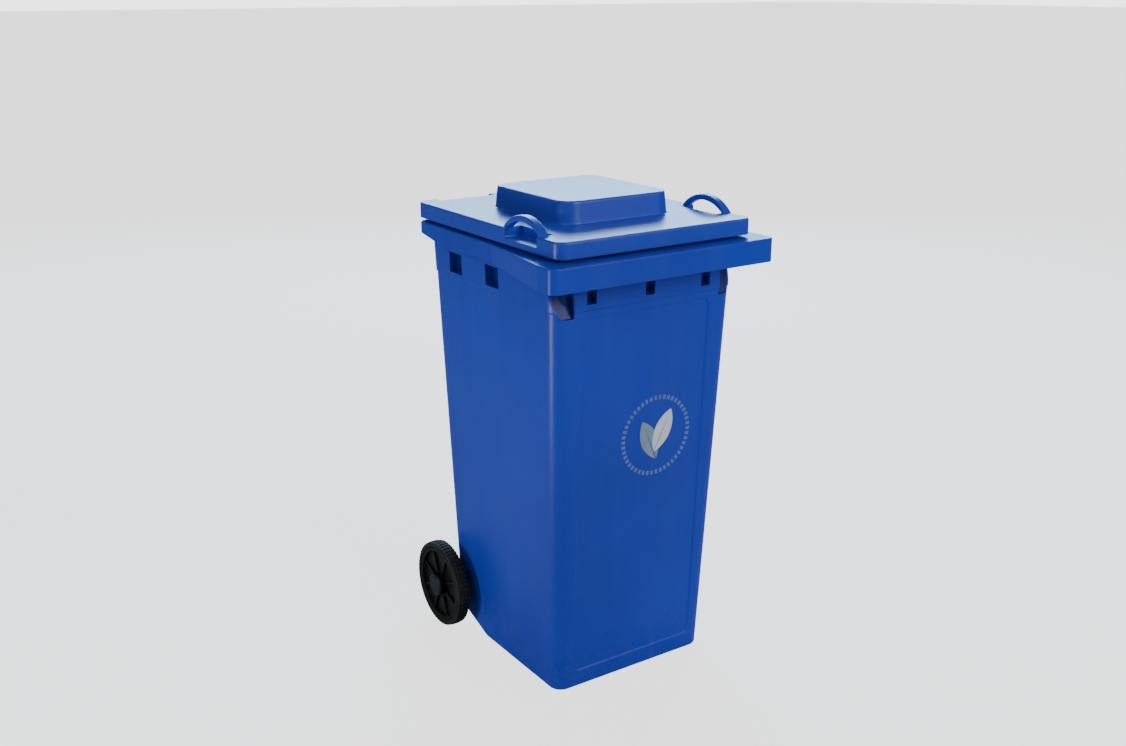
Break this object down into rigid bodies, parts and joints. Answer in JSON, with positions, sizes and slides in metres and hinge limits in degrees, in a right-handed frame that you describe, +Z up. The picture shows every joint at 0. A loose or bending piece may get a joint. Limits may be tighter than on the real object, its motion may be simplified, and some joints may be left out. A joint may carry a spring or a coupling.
{
  "type": "two-wheeled refuse bin",
  "caption": "Blue moulded two-wheeled refuse bin with a tapered tub, comb lip, hinged lid with a raised middle and arched handles, and black wheels on a rear axle.",
  "frame": {"origin": "on the ground, at the centre of the footprint of the whole bin's bounding box", "axes": "+Z up, -Y towards the front with the comb lip, +Y towards the grips and wheels, +X to the right seen from the front"},
  "size_m": [0.49, 0.56, 0.9305],
  "materials": {
    "bin_plastic": "semi-gloss moulded polyethylene",
    "lid_plastic": "semi-gloss moulded polyethylene",
    "label_film": "satin printed film",
    "axle_steel": "black lacquer over steel",
    "pin_plastic": "satin moulded",
    "spacer_plastic": "satin moulded",
    "washer_steel": "zinc plated",
    "wheel_plastic": "satin moulded",
    "tyre_rubber": "matt rubber",
    "bush_nylon": "satin nylon",
    "cap_plastic": "satin moulded"
  },
  "bodies": {
    "bin": {"tub": "bin_plastic", "front_label": "label_film", "axle": "axle_steel", "hinge_pin_left": "pin_plastic", "hinge_pin_cap_left": "pin_plastic", "axle_spacer_left": "spacer_plastic", "axle_washers_left": "washer_steel", "wheel_lock_ring_left": "washer_steel", "hinge_pin_right": "pin_plastic", "hinge_pin_cap_right": "pin_plastic", "axle_spacer_right": "spacer_plastic", "axle_washers_right": "washer_steel", "wheel_lock_ring_right": "washer_steel"},
    "lid": {"lid": "lid_plastic"},
    "left_wheel": {"wheel_centre_left": "wheel_plastic", "wheel_tyre_left": "tyre_rubber", "wheel_inner_bush_left": "bush_nylon", "wheel_outer_bush_left": "bush_nylon", "wheel_hub_cap_left": "cap_plastic"},
    "right_wheel": {"wheel_centre_right": "wheel_plastic", "wheel_tyre_right": "tyre_rubber", "wheel_inner_bush_right": "bush_nylon", "wheel_outer_bush_right": "bush_nylon", "wheel_hub_cap_right": "cap_plastic"}
  },
  "joints": [
    {"name": "lid_hinge", "type": "hinge", "parent": "bin", "child": "lid", "pos_m": [0, 0.266, 0.848], "axis": [-1, 0, 0], "range_deg": [0, 250]},
    {"name": "left_wheel_spin", "type": "hinge", "parent": "bin", "child": "left_wheel", "pos_m": [-0.215, 0.185, 0.09], "axis": [1, 0, 0], "continuous": true},
    {"name": "right_wheel_spin", "type": "hinge", "parent": "bin", "child": "right_wheel", "pos_m": [0.215, 0.185, 0.09], "axis": [1, 0, 0], "continuous": true}
  ]
}
